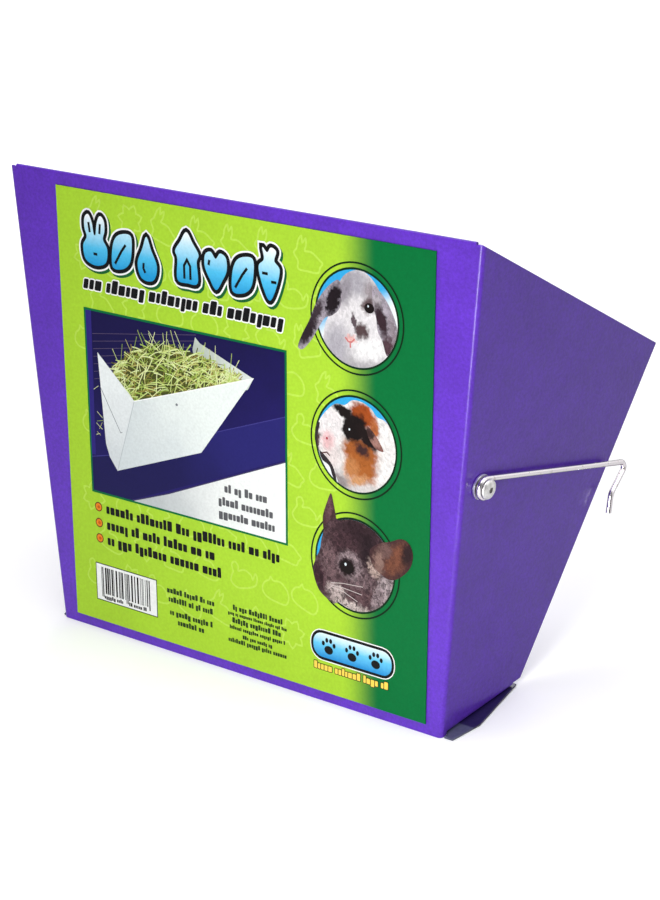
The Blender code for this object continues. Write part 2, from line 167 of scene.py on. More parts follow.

# The front part of the floor pan's ears, which lies outside the wings' shadow and gets a painted grey-blue
# reflection of light.
EAR_START_X = 101.5 * MM
EAR_PAINTED_LIGHT_GREY_END_Y = -12.0 * MM

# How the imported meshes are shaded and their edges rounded.
MERGE_DISTANCE = 0.002 * MM
SMOOTH_LIMIT = radians(35)
ROUNDED_FROM = radians(42)
SHEET_EDGE = 0.14 * MM
WASHER_EDGE = 0.10 * MM

# Ink plates.
INK_THICKNESS = 0.012 * MM
LAYER_STEP = 0.022 * MM


# ---- colours and material nodes


def linear(colour):
    """An sRGB colour of 0 to 255 as the linear RGBA that Blender's nodes take."""
    parts = [c / 255 for c in colour]
    return (*[c / 12.92 if c < 0.04045 else ((c + 0.055) / 1.055) ** 2.4 for c in parts], 1)


class Graph:
    """Builds the nodes of a material or a world. Most methods add a node and return its output."""

    def __init__(self, tree):
        self.tree = tree

    def add(self, kind, inputs=None, **settings):
        """A new node with these settings, and with values or links for inputs by name or number."""
        node = self.tree.nodes.new(kind)
        for key, value in settings.items():
            setattr(node, key, value)
        for key, value in (inputs or {}).items():
            self.feed(node.inputs[key], value)
        return node

    def feed(self, socket, value):
        """Links a socket to another node's output, or gives it a plain value."""
        if isinstance(value, bpy.types.NodeSocket):
            self.tree.links.new(value, socket)
        else:
            socket.default_value = value

    def math(self, operation, a, b=0.0):
        return self.add("ShaderNodeMath", {0: a, 1: b}, operation=operation).outputs[0]

    def math3(self, operation, a, b=(0, 0, 0)):
        node = self.add("ShaderNodeVectorMath", {0: a, 1: b}, operation=operation)
        return node.outputs["Value" if operation in ("LENGTH", "DOT_PRODUCT") else "Vector"]

    def remap(self, value, low, high, to_low=0.0, to_high=1.0, smooth=False):
        inputs = {"Value": value, "From Min": low, "From Max": high, "To Min": to_low, "To Max": to_high}
        kind = "SMOOTHSTEP" if smooth else "LINEAR"
        return self.add("ShaderNodeMapRange", inputs, interpolation_type=kind).outputs["Result"]

    def mix(self, factor, first, second, blend="MIX"):
        inputs = {"Factor": factor, 6: first, 7: second}
        return self.add("ShaderNodeMix", inputs, data_type="RGBA", blend_type=blend).outputs[2]

    def ramp(self, value, stops):
        """A colour ramp through (position, colour) stops."""
        node = self.add("ShaderNodeValToRGB", {"Fac": value})
        elements = node.color_ramp.elements
        while len(elements) < len(stops):
            elements.new(0.5)
        for element, (position, colour) in zip(elements, stops):
            element.position = position
            element.color = linear(colour)
        return node.outputs["Color"]

    def grey(self, value):
        return self.add("ShaderNodeCombineColor", {0: value, 1: value, 2: value}).outputs[0]

    def split(self, vector):
        return self.add("ShaderNodeSeparateXYZ", {0: vector}).outputs

    def bump(self, height, distance, strength=1.0, below=None):
        inputs = {"Height": height, "Distance": distance, "Strength": strength}
        if below is not None:
            inputs["Normal"] = below
        return self.add("ShaderNodeBump", inputs).outputs["Normal"]


class Finish(Graph):
    """A material around one Principled shader."""

    def __init__(self, name):
        self.material = bpy.data.materials.new(name)
        self.material.use_nodes = True
        super().__init__(self.material.node_tree)
        self.tree.nodes.clear()
        self.shader = self.add("ShaderNodeBsdfPrincipled")
        self.add("ShaderNodeOutputMaterial", {"Surface": self.shader.outputs["BSDF"]})
        self.place = self.add("ShaderNodeTexCoord").outputs["Object"]

    def set(self, **values):
        """Sets the shader's inputs; an underscore in a name stands for a space."""
        for key, value in values.items():
            self.feed(self.shader.inputs[key.replace("_", " ")], value)

    def noise(self, scale, detail=2.0, roughness=0.5, vector=None, stretch=None, output="Fac"):
        vector = vector or self.place
        if stretch is not None:
            vector = self.math3("MULTIPLY", vector, stretch)
        inputs = {"Vector": vector, "Scale": scale, "Detail": detail, "Roughness": roughness}
        return self.add("ShaderNodeTexNoise", inputs).outputs[output]

    def local(self, matrix, size):
        """Coordinates in a frame whose axes are the matrix's columns, in units of size."""
        frame_inputs = {
            "Vector": self.place,
            "Location": matrix.translation,
            "Rotation": matrix.to_euler(),
            "Scale": (size, size, size),
        }
        return self.add("ShaderNodeMapping", frame_inputs, vector_type="TEXTURE").outputs["Vector"]

    def worn_edge(self, width):
        """1 along convex edges, 0 elsewhere."""
        bevel = self.add("ShaderNodeBevel", {"Radius": width}, samples=4)
        normal = self.add("ShaderNodeNewGeometry").outputs["Normal"]
        bend = self.math3("DOT_PRODUCT", bevel.outputs["Normal"], normal)
        return self.remap(bend, 0.99, 0.80)


# ---- the metal finishes


def powder_coat(name, colour):
    """Glossy powder coat: orange peel, a fine grain, faint clouds, and a darker film along the edges."""
    return coat_over(Finish(name), colour).material


def coat_over(paint, colour, over=None, share=0.0):
    """Powder coat on a finish, with a share of another colour over it."""
    clouds = paint.remap(paint.noise(55, 4.0, 0.6), 0.35, 0.68, 0.0, 0.6)
    tone = paint.mix(clouds, linear(colour), linear([c * 0.88 for c in colour]))
    grain = paint.remap(paint.noise(800, 4.0, 0.7), 0.36, 0.64, 0.0, 0.30)
    tone = paint.mix(grain, tone, linear([c * 0.45 for c in colour]))
    edge = paint.math("MULTIPLY", paint.worn_edge(0.35 * MM), 0.35)
    tone = paint.mix(edge, tone, linear([c * 0.5 for c in colour]))
    if over is not None:
        tone = paint.mix(share, tone, linear(over))
    normal = paint.bump(paint.noise(110, 1.0), 0.30 * MM, 0.30)
    peel = paint.bump(paint.noise(520, 2.0, 0.5), 0.09 * MM, 0.8, normal)
    rough = paint.remap(paint.noise(300, 3.0), 0.3, 0.7, 0.28, 0.38)
    paint.set(Base_Color=tone, Roughness=rough, Normal=peel, Specular_IOR_Level=0.36)
    paint.set(Coat_Weight=0.25, Coat_Roughness=0.10, Coat_Normal=peel)
    return paint


def pan_coat():
    """The pan's coat, painted dark as shade under the wings, with a painted grey-blue reflection of light
    on the front part of its ears.
    """
    paint = Finish("pan_coat_painted_shade_and_light_finish")
    place = paint.split(paint.place)
    # Painted light: film marks the ears' front part, ahead of the wings' shadow, which turns grey-blue.
    ear = paint.math("GREATER_THAN", paint.math("ABSOLUTE", place["X"]), EAR_START_X)
    front = paint.remap(place["Y"], EAR_PAINTED_LIGHT_GREY_END_Y, EAR_PAINTED_LIGHT_GREY_END_Y - 0.8 * MM)
    film = paint.math("MULTIPLY", ear, front)
    film = paint.math("MULTIPLY", film, paint.remap(paint.noise(420, 3.0), 0.3, 0.6, 0.75, 1.0))
    return coat_over(paint, PAN_PAINTED_SHADE_PURPLE, EAR_PAINTED_LIGHT_GREY, film).material


def bright_nickel(name):
    """Nickel-plated wire: bright, with a painted dark reflection towards its outline, fine drawing marks
    and a few dull spots.
    """
    metal = Finish(name)
    marks = metal.noise(900, 4.0, 0.65, stretch=(1, 0.25, 0.25))
    spots = metal.remap(metal.noise(420, 2.0), 0.62, 0.74)
    tone = metal.mix(spots, *[linear(colour) for colour in NICKEL])
    # Painted reflection: the wire darkens where its surface turns away from the view.
    facing = metal.add("ShaderNodeLayerWeight").outputs["Facing"]
    tone = metal.mix(metal.remap(facing, 0.45, 0.85, 0.0, 0.8, smooth=True), tone, linear(NICKEL_PAINTED_DARK_REFLECTION))
    dull = metal.math("MULTIPLY", spots, 0.15)
    rough = metal.math("ADD", metal.remap(marks, 0.3, 0.7, 0.10, 0.20), dull)
    normal = metal.bump(marks, 0.03 * MM, 0.25)
    metal.set(Base_Color=tone, Metallic=1.0, Roughness=rough, Normal=normal)
    return metal.material


def worn_metal(name, colours, roughness, grain):
    """Bare or zinc-plated metal: patches of duller tone, fine grain and edges rubbed bright."""
    metal = Finish(name)
    patches = metal.remap(metal.noise(700, 4.0, 0.6), 0.38, 0.66)
    tone = metal.mix(patches, *[linear(colour) for colour in colours])
    tone = metal.mix(metal.math("MULTIPLY", metal.worn_edge(0.15 * MM), 0.4), tone, linear(RUBBED))
    scratch = metal.noise(grain, 3.0, 0.7, stretch=(1, 1, 0.2))
    rough = metal.remap(patches, 0.0, 1.0, roughness, roughness + 0.14)
    metal.set(Base_Color=tone, Metallic=1.0, Roughness=rough, Normal=metal.bump(scratch, 0.03 * MM, 0.3))
    return metal.material


def smooth_by_angle(name, limit):
    """A modifier's node group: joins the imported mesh's split corners and smooths it up to an angle."""
    group = bpy.data.node_groups.new(name, "GeometryNodeTree")
    for side in ("INPUT", "OUTPUT"):
        group.interface.new_socket("Geometry", in_out=side, socket_type="NodeSocketGeometry")

    def node(kind, geometry, **values):
        made = group.nodes.new(kind)
        for key, value in values.items():
            made.inputs[key].default_value = value
        if geometry is not None:
            group.links.new(geometry.outputs[0], made.inputs[0])
        return made

    start = node("NodeGroupInput", None)
    merged = node("GeometryNodeMergeByDistance", start, Distance=MERGE_DISTANCE)
    bare = node("GeometryNodeRemoveAttribute", merged, Name="custom_normal")
    faces = node("GeometryNodeSetShadeSmooth", bare)
    edges = node("GeometryNodeSetShadeSmooth", faces)
    edges.domain = "EDGE"
    angle = node("GeometryNodeInputMeshEdgeAngle", None)
    below = node("FunctionNodeCompare", None)
    below.operation = "LESS_THAN"
    below.inputs[1].default_value = limit
    group.links.new(angle.outputs["Unsigned Angle"], below.inputs[0])
    group.links.new(below.outputs["Result"], edges.inputs["Shade Smooth"])
    node("NodeGroupOutput", edges)
    return group


def dress(node, finish, shading, edge=0.0):
    """Gives a CAD node its finish, smooth shading and, where edge is above 0, rounded sheet edges."""
    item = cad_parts[node]
    item.data.materials.clear()
    item.data.materials.append(finish)
    item.modifiers.new("Smooth", "NODES").node_group = shading
    if edge:
        rounding = item.modifiers.new("Edges", "BEVEL")
        rounding.width = edge
        rounding.segments = 2
        rounding.limit_method = "ANGLE"
        rounding.angle_limit = ROUNDED_FROM
        weights = item.modifiers.new("Flats", "WEIGHTED_NORMAL")
        weights.weight = 100
        weights.keep_sharp = True


def dress_metal():
    shading = smooth_by_angle("smooth_up_to_35_degrees", SMOOTH_LIMIT)
    coat = powder_coat("purple_powder_coat_finish", PURPLE)
    wire = bright_nickel("nickel_wire_finish")
    rivet = worn_metal("aluminium_rivet_finish", ALUMINIUM, 0.34, 1500)
    stem = worn_metal("steel_mandrel_finish", STEEL, 0.36, 1800)
    zinc = worn_metal("zinc_washer_finish", ZINC, 0.28, 1300)
    dress("bin_body", coat, shading, SHEET_EDGE)
    dress("floor_pan", pan_coat(), shading, SHEET_EDGE)
    for side in ("right_", "left_"):
        dress(side + "hook", wire, shading)
        dress(side + "rivet", rivet, shading)
        dress(side + "rivet_mandrel", stem, shading)
        dress(side + "outer_washer", zinc, shading, WASHER_EDGE)
        dress(side + "inner_washer", zinc, shading, WASHER_EDGE)


# ---- the card's plane


class Card:
    """The front face of the printed card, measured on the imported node; it widens a little to the top."""

    def __init__(self):
        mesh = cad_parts["label_card"].data
        self.out = min((face.normal for face in mesh.polygons), key=lambda normal: normal.y).copy()
        self.right = Vector((1, 0, 0))
        self.down = self.right.cross(self.out).normalized()
        points = [vertex.co for vertex in mesh.vertices]
        left = min(p.dot(self.right) for p in points)
        front = max(p.dot(self.out) for p in points)
        rows = [p.dot(self.down) for p in points]
        top, bottom = min(rows), max(rows)
        middle = (top + bottom) / 2
        self.height = bottom - top
        self.top_width = max(p.x for p, row in zip(points, rows) if row < middle) - left
        self.bottom_width = max(p.x for p, row in zip(points, rows) if row > middle) - left
        self.corner = self.right * left + self.down * top + self.out * front
        self.matrix = Matrix((self.right, self.down, -self.out)).transposed().to_4x4()
        self.matrix.translation = self.corner

    def point(self, x, y, lift=0.0):
        width = self.top_width + (self.bottom_width - self.top_width) * y
        return self.corner + self.right * x * width + self.down * y * self.height + self.out * lift


card = Card()


# ---- outlines, in shares of the card


def ellipse(x, y, rx, ry, turn=0.0, steps=32):
    points = []
    for step in range(steps):
        a = 2 * pi * step / steps
        px, py = rx * cos(a), ry * sin(a)
        points.append((x + px * cos(turn) - py * sin(turn), y + px * sin(turn) + py * cos(turn)))
    return points


def rounded_box(left, top, right, bottom, radius, lean=0.0, steps=5):
    """A box with round corners; lean slants it to the right towards its top."""
    radius = min(radius, (right - left) / 2, (bottom - top) / 2)
    corners = (
        (right - radius, bottom - radius, 0),
        (left + radius, bottom - radius, pi / 2),
        (left + radius, top + radius, pi),
        (right - radius, top + radius, 3 * pi / 2),
    )
    points = []
    for x, y, start in corners:
        for step in range(steps + 1):
            a = start + pi / 2 * step / steps
            points.append((x + radius * cos(a), y + radius * sin(a)))
    return [(x + (bottom - y) * lean, y) for x, y in points]


def box(left, top, right, bottom):
    return [(left, top), (right, top), (right, bottom), (left, bottom)]


def inset(sides, rim):
    left, top, right, bottom = sides
    return left + rim, top + rim, right - rim, bottom - rim


def smooth_loop(points, steps=6):
    """A closed Catmull-Rom curve through the points."""
    loop = []
    count = len(points)
    for i in range(count):
        p0, p1, p2, p3 = (Vector(points[(i + k) % count]) for k in (-1, 0, 1, 2))
        for step in range(steps):
            t = step / steps
            bend = p0 * -t * (1 - t) ** 2 + p1 * (2 - 5 * t * t + 3 * t ** 3)
            bend += p2 * (t + 4 * t * t - 3 * t ** 3) - p3 * t * t * (1 - t)
            loop.append(tuple(bend / 2))
    return loop


def moved(points, x, y, scale=1.0, turn=0.0):
    c, s = cos(turn) * scale, sin(turn) * scale
    return [(x + px * c - py * s, y + px * s + py * c) for px, py in points]


def offsets(points, width, closed):
    """Points to the left and right of a path, half a width away, with mitred corners."""
    count = len(points)
    left, right = [], []
    for i in range(count):
        here = Vector(points[i])
        before = Vector(points[i - 1]) if closed or i else here
        after = Vector(points[(i + 1) % count]) if closed or i < count - 1 else here
        along = ((here - before).normalized() + (after - here).normalized()).normalized()
        across = Vector((-along.y, along.x))
        first = (after - here).normalized() if after != here else (here - before).normalized()
        reach = width / 2 / max(0.35, abs(along.dot(first)))
        left.append(tuple(here + across * reach))
        right.append(tuple(here - across * reach))
    return left, right


# ---- pieces of ink


class Print:
    """One printed piece: thin plates of ink on the card that share a mesh."""

    def __init__(self, name, layer):
        self.name = name
        self.layer = layer
        self.builder = bmesh.new()
        self.inks = []

    def slot(self, ink):
        if ink not in self.inks:
            self.inks.append(ink)
        return self.inks.index(ink)

    def rings(self, outlines, layer):
        """Each outline's vertices at the bottom and at the top of its ink."""
        low = (self.layer + layer) * LAYER_STEP
        made = []
        for lift in (low, low + INK_THICKNESS):
            places = [[card.point(x, y, lift) for x, y in line] for line in outlines]
            made.append([[self.builder.verts.new(place) for place in line] for line in places])
        return made

    def face(self, vertices, ink):
        face = self.builder.faces.new(vertices)
        face.material_index = self.slot(ink)

    def plate(self, outline, ink, layer=0.0):
        """A closed plate with this outline."""
        (bottom,), (top,) = self.rings([outline], layer)
        self.face(top, ink)
        self.face(bottom[::-1], ink)
        count = len(outline)
        for i in range(count):
            j = (i + 1) % count
            self.face((bottom[i], bottom[j], top[j], top[i]), ink)

    def line(self, points, width, ink, layer=0.0, closed=False):
        """A closed plate along a path, such as a ring, a border or a stroke."""
        (low_left, low_right), (left, right) = self.rings(offsets(points, width, closed), layer)
        count = len(points)
        for i in range(count if closed else count - 1):
            j = (i + 1) % count
            self.face((left[i], left[j], right[j], right[i]), ink)
            self.face((low_right[i], low_right[j], low_left[j], low_left[i]), ink)
            self.face((low_left[i], low_left[j], left[j], left[i]), ink)
            self.face((right[i], right[j], low_right[j], low_right[i]), ink)
        if not closed:
            for i in (0, count - 1):
                self.face((low_left[i], left[i], right[i], low_right[i]), ink)

    def finish(self):
        bmesh.ops.recalc_face_normals(self.builder, faces=self.builder.faces)
        data = bpy.data.meshes.new(self.name)
        self.builder.to_mesh(data)
        self.builder.free()
        for ink in self.inks:
            data.materials.append(ink)
        item = bpy.data.objects.new(self.name, data)
        bpy.context.scene.collection.objects.link(item)
        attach(item, "bin")
        return item


def ink_surface(finish, tone):
    """What every print shares: a glossy varnish with a faint ripple over slightly uneven ink."""
    uneven = finish.remap(finish.noise(900, 2.0), 0.3, 0.7, 0.0, 0.10)
    finish.set(Base_Color=finish.mix(uneven, tone, (0, 0, 0, 1)))
    ripple = finish.bump(finish.noise(45, 2.0), 0.25 * MM, 0.22)
    finish.set(Roughness=0.38, Specular_IOR_Level=0.12, Normal=ripple)
    finish.set(Coat_Weight=0.03, Coat_Roughness=0.12)


inks = {}


def ink(colour):
    """A plain printed colour; each colour's material is made once."""
    if colour not in inks:
        made = Finish("ink_%02x%02x%02x" % colour)
        ink_surface(made, linear(colour))
        inks[colour] = made.material
    return inks[colour]


def upright_gradient(name, top, bottom, stops):
    """An ink that changes colour between two heights on the card."""
    made = Finish(name)
    y = made.split(made.local(card.matrix, card.height))["Y"]
    ink_surface(made, made.ramp(made.remap(y, top, bottom), stops))
    return made.material


def card_face():
    """The card's lime field, which shades into dark green on the right."""
    made = Finish("lime_card_finish")
    place = made.split(made.local(card.matrix, card.height))
    shade = made.remap(place["X"], SHADE_START, SHADE_END, smooth=True)
    clouds = made.remap(made.noise(30, 2.0), 0.3, 0.7)
    field = made.mix(clouds, linear(LIME), linear([c * 0.97 for c in LIME]))
    ink_surface(made, made.mix(shade, field, linear(DARK_GREEN)))
    return made.material


# ---- the pale outlines behind the print

# Outlines in a unit box, X to the right and Y down.
RABBIT_LINE = (
    (.06, .5), (.14, .36), (.18, .14), (.27, .02), (.31, .18), (.41, .06), (.43, .24), (.4, .38),
    (.62, .38), (.86, .52), (.97, .6), (.9, .72), (.84, .87), (.5, .89), (.22, .88), (.2, .68),
)
CAVY_LINE = (
    (.04, .62), (.1, .44), (.22, .34), (.27, .22), (.37, .3), (.62, .25), (.87, .4), (.96, .62),
    (.88, .82), (.52, .86), (.3, .85), (.12, .78),
)
MOUSE_LINE = (
    (.04, .64), (.14, .45), (.19, .38), (.19, .18), (.33, .12), (.41, .26), (.38, .38), (.6, .36),
    (.8, .5), (.84, .64), (.97, .48), (1, .62), (.87, .82), (.5, .87), (.2, .83),
)
DOODLE_PITCH = 0.094
DOODLE_SIZE = 0.080
DOODLE_STROKE = 0.0042
DOODLE_EDGE = 0.004


def tuft_line():
    """A round tuft of hay, as a circle with seven waves."""
    points = []
    for step in range(28):
        a = 2 * pi * step / 28
        r = 0.36 + 0.07 * cos(7 * a)
        points.append((0.5 + r * cos(a), 0.5 + r * sin(a)))
    return points


def doodles():
    """Pale outlines of small animals and hay tufts, scattered over the lime field."""
    dice = random.Random(7)
    shapes = [smooth_loop(line, 4) for line in (RABBIT_LINE, CAVY_LINE, MOUSE_LINE)] + [tuft_line()]
    art = Print("card_print_outlines", 1)
    pale = ink(DOODLE_LINE)
    rows = int(1 / DOODLE_PITCH) + 1
    columns = int(SHADE_START / DOODLE_PITCH) + 1
    for row in range(rows):
        for column in range(columns):
            x = (column + 0.5 * (row % 2) - 0.1) * DOODLE_PITCH + dice.uniform(-0.008, 0.008)
            y = row * DOODLE_PITCH * 0.98 + 0.014 + dice.uniform(-0.006, 0.006)
            shape = shapes[dice.randrange(4)]
            turn = dice.uniform(-0.35, 0.35)
            fits_across = DOODLE_EDGE < x < SHADE_START - DOODLE_SIZE / 2
            if not fits_across or y > 1 - DOODLE_SIZE - DOODLE_EDGE:
                continue
            centred = [(px - 0.5, py - 0.5) for px, py in shape]
            outline = moved(centred, x + DOODLE_SIZE / 2, y + DOODLE_SIZE / 2, DOODLE_SIZE, turn)
            art.line(outline, DOODLE_STROKE, pale, closed=True)
    art.finish()


# ---- dummy text: blocks in place of letters


# Sizes in shares of the line's height, and how many blocks in 1 are tall or reach below the line.
BLOCK_WIDTHS = (0.34, 0.62)
BLOCK_GAP = 0.12
WORD_GAP = 0.38
LINE_END_SPACE = 0.4
SHORT_DROP = 0.26
TAIL_FOOT = 1.22
BLOCK_CORNER = 0.1
TALL_SHARE = 0.3
TAIL_SHARE = 0.1


def word_blocks(left, right, height, dice):
    """The left, right and kind of the blocks that stand for the words of one line."""
    x = left
    while x < right - LINE_END_SPACE * height:
        letters = dice.randint(2, 8)
        for _ in range(letters):
            wide = height * dice.uniform(*BLOCK_WIDTHS)
            if x + wide > right:
                return
            yield x, x + wide, dice.random()
            x += wide + BLOCK_GAP * height
        x += WORD_GAP * height


def dummy_line(art, line, colour, dice, lean=0.0, halo=None):
    """One line of text (left, right, top, height), with its letters as plain blocks of three heights."""
    left, right, top, height = line
    radius = BLOCK_CORNER * height
    for start, end, kind in word_blocks(left, right, height, dice):
        block_top = top if kind < TALL_SHARE else top + SHORT_DROP * height
        block_bottom = top + height * (TAIL_FOOT if kind >= 1 - TAIL_SHARE else 1.0)
        if halo is not None:
            spread = BLOCK_CORNER * height
            edge = (start - spread, block_top - spread, end + spread, block_bottom + spread)
            art.plate(rounded_box(*edge, radius + spread, lean), ink(halo), 0.0)
        art.plate(rounded_box(start, block_top, end, block_bottom, radius, lean), ink(colour), 1.5)


# Bubble signs of the heading: width, top and bottom as heights in the heading, outline in a unit box.
SIGNS = {
    "rabbit": (0.070, 0.0, 1.0, (
        (.1, .08), (.26, 0), (.4, .16), (.46, .38), (.54, .38), (.6, .16), (.74, 0), (.9, .08), (.92, .28),
        (.84, .46), (1, .64), (.94, .9), (.66, 1), (.34, 1), (.06, .9), (0, .64), (.16, .46), (.08, .28))),
    "leaf": (0.060, 0.26, 1.0, (
        (.04, .96), (.04, .5), (.22, .16), (.56, .02), (.96, .04), (.98, .44), (.84, .8), (.48, .98))),
    "drop": (0.062, 0.24, 1.12, (
        (.5, 0), (.7, .28), (.94, .62), (.82, .92), (.5, 1), (.18, .92), (.06, .62), (.3, .28))),
    "hutch": (0.070, 0.0, 1.0, (
        (.04, .4), (.26, .2), (.5, 0), (.74, .2), (.96, .4), (.88, .56), (.9, .96), (.5, 1), (.1, .96),
        (.12, .56))),
    "heart": (0.064, 0.28, 1.02, (
        (.5, .18), (.7, .02), (.94, .12), (.96, .44), (.76, .74), (.5, 1), (.24, .74), (.04, .44),
        (.06, .12), (.3, .02))),
    "carrot": (0.062, 0.0, 1.02, (
        (.22, .02), (.42, .1), (.58, 0), (.8, .06), (.72, .24), (.94, .38), (.84, .66), (.6, .96),
        (.42, .96), (.16, .66), (.06, .38), (.28, .24))),
}
SIGN_MARKS = {
    "rabbit": (((.26, .16), (.30, .36)), ((.74, .16), (.70, .36)), ((.42, .78), (.58, .78))),
    "leaf": (((.16, .86), (.48, .50), (.70, .30)),),
    "drop": (((.34, .60), (.32, .72), (.40, .82)),),
    "hutch": (((.38, .92), (.38, .66), (.50, .54), (.62, .66), (.62, .92)),),
    "heart": (((.24, .24), (.20, .38)),),
    "carrot": (((.20, .50), (.44, .50)), ((.80, .64), (.58, .64))),
}
SIGN_LINE = 0.0085
SIGN_HALO = 0.0125
SIGN_MARK = 0.006
SIGN_SHADOW_SHIFT = 0.005


def heading():
    """Seven bubble signs shaded from white to blue, with a black line, a halo and a drop shadow."""
    art = Print("card_print_heading", 3)
    fill = upright_gradient("heading_blue", HEADING_TOP, HEADING_BOTTOM, HEADING_STOPS)
    height = HEADING_BOTTOM - HEADING_TOP
    for left, name in HEADING_SIGNS:
        width, top, bottom, points = SIGNS[name]

        def placed(places):
            tall = (bottom - top) * height
            return [(left + x * width, HEADING_TOP + top * height + y * tall) for x, y in places]

        outline = placed(smooth_loop(points, 5))
        shadow = [(x + SIGN_SHADOW_SHIFT, y + SIGN_SHADOW_SHIFT) for x, y in outline]
        art.line(shadow, 2 * SIGN_HALO, ink(SHADE_GREEN), 0.0, closed=True)
        art.line(outline, 2 * SIGN_HALO, ink(WHITE), 1.5, closed=True)
        art.line(outline, 2 * SIGN_LINE, ink(BLACK), 3.0, closed=True)
        art.plate(outline, fill, 4.2)
        for mark in SIGN_MARKS[name]:
            art.line(placed(mark), SIGN_MARK, ink(BLACK), 5.4)
    art.finish()


def tagline():
    art = Print("card_print_tagline", 9)
    dummy_line(art, TAGLINE, BLACK, random.Random(21), TAGLINE_LEAN, halo=WHITE)
    art.finish()


def bullets():
    art = Print("card_print_bullets", 3)
    dice = random.Random(5)
    for y, right in BULLETS:
        for layer, (radius, colour) in enumerate(BULLET_RINGS):
            art.plate(ellipse(BULLET_X, y, radius, radius, steps=24), ink(colour), layer)
        art.plate(ellipse(BULLET_CORE_X, y, *BULLET_CORE, steps=16), ink(DEEP_ORANGE), 2.0)
        dummy_line(art, (BULLET_TEXT_X, right, y - BULLET_TEXT_RISE, BULLET_TEXT_HEIGHT), BLACK, dice)
    art.finish()


def small_print():
    art = Print("card_print_small_text", 3)
    dice = random.Random(11)
    for line in LEFT_SMALL_PRINT + RIGHT_SMALL_PRINT:
        dummy_line(art, line, SMALL_PRINT, dice)
    art.finish()


def barcode():
    """A white box with bars of random width; the bars code nothing."""
    art = Print("card_print_barcode", 3)
    art.plate(box(*BARCODE), ink(BARCODE_RIM_GREEN), 0.0)
    left, top, right, bottom = inner = inset(BARCODE, BARCODE_RIM)
    art.plate(box(*inner), ink(WHITE), 1.0)
    dice = random.Random(3)
    unit = (right - left) / BARCODE_UNITS
    middle = (left + right) / 2
    bar_top = top + BARCODE_TOP_SPACE
    x = left + BARCODE_LEFT_SPACE * unit
    while x < right - BARCODE_RIGHT_SPACE * unit:
        wide = unit * dice.choice((1, 1, 2, 2, 3))
        at_left = x < left + (BARCODE_LEFT_SPACE + BARCODE_GUARD) * unit
        at_right = x > right - (BARCODE_RIGHT_SPACE + BARCODE_GUARD) * unit
        guard = at_left or at_right or abs(x - middle) < BARCODE_GUARD / 2 * unit
        foot = bottom - (BARCODE_GUARD_FOOT if guard else BARCODE_FOOT)
        art.plate(box(x, bar_top, x + wide, foot), ink(BLACK), 2.0)
        x += wide + unit * dice.choice((1, 1, 2, 3))
    before, after = BARCODE_TEXT_GAP
    halves = (left + BARCODE_TEXT_INDENT, middle - before), (middle + after, right - BARCODE_TEXT_INDENT)
    for start, end in halves:
        dummy_line(art, (start, end, bottom - BARCODE_TEXT_RISE, BARCODE_TEXT_HEIGHT), BLACK, dice)
    art.finish()


def badge():
    """A blue badge with three paw prints over a line of dummy text."""
    art = Print("card_print_badge", 3)
    left, top, right, bottom = BADGE
    fill = upright_gradient("badge_blue", top, bottom, BADGE_STOPS)
    for layer, (spread, colour) in enumerate(BADGE_RIMS):
        art.plate(rounded_box(*inset(BADGE, -spread), BADGE_CORNER + spread), ink(colour), layer)
    art.plate(rounded_box(*BADGE, BADGE_CORNER), fill, 2.0)
    middle = (top + bottom) / 2
    for share in PAW_PLACES:
        x = left + (right - left) * share
        art.plate(ellipse(x, middle + PAW_PAD_DROP, *PAW_PAD), ink(BLACK), 3.0)
        for toe_x, toe_y in PAW_TOES:
            art.plate(ellipse(x + toe_x, middle + toe_y, *PAW_TOE, steps=16), ink(BLACK), 3.0)
    dummy_line(art, BADGE_LINE, YELLOW, random.Random(9), halo=BLACK)
    art.finish()


# ---- the three pictures of animals


def circle_frame(y):
    """The matrix of a circle's own coordinates, X right and Y down, whose radius is 1."""
    matrix = card.matrix.copy()
    matrix.translation = card.point(CIRCLE_X, y)
    return matrix


# A patch's third radius, so large that depth doesn't count.
DEEP = 1e3


def fur(name, y, ground, patches, grain, contrast, lie=90.0, mottle=0.0):
    """Fur with soft patches of colour. A patch is x, y, two radii, turn in degrees, softness and colour.

    Grain is how fine the hair is, contrast how much it stands out, lie the way it lies, in degrees, and
    mottle how much darker fur shows through.
    """
    made = Finish(name)
    place = made.local(circle_frame(y), CIRCLE_RADIUS * card.height)
    wander = made.noise(grain, 3.0, vector=place, output="Color")
    shake = made.math3("SUBTRACT", wander, (0.5, 0.5, 0.5))
    fuzzy = made.math3("ADD", place, made.math3("MULTIPLY", shake, (0.24, 0.24, 0.0)))
    tone = linear(ground)
    for px, py, rx, ry, turn, soft, colour in patches:
        inputs = {0: fuzzy, "Location": (px, py, 0), "Scale": (rx, ry, DEEP)}
        inputs["Rotation"] = (0, 0, radians(turn))
        shape = made.add("ShaderNodeMapping", inputs, vector_type="TEXTURE")
        distance = made.math3("LENGTH", shape.outputs["Vector"])
        mask = made.remap(distance, 1 - soft, 1 + soft, 1.0, 0.0, smooth=True)
        tone = made.mix(mask, tone, linear(colour))
    combed = made.add("ShaderNodeMapping", {0: fuzzy, "Rotation": (0, 0, radians(-lie))})
    strands = made.noise(grain * 2.6, 4.0, 0.65, combed.outputs["Vector"], stretch=(0.28, 1.0, 1.0))
    shading = made.remap(strands, 0.34, 0.66, 1 - contrast, 1 + contrast * 0.5)
    tone = made.mix(1.0, tone, made.grey(shading), "MULTIPLY")
    if mottle:
        shadow = made.remap(made.noise(grain * 0.8, 5.0, 0.7, vector=fuzzy), 0.44, 0.60, 0.0, mottle)
        tone = made.mix(shadow, tone, linear(MOTTLE))
    ink_surface(made, tone)
    return made.material


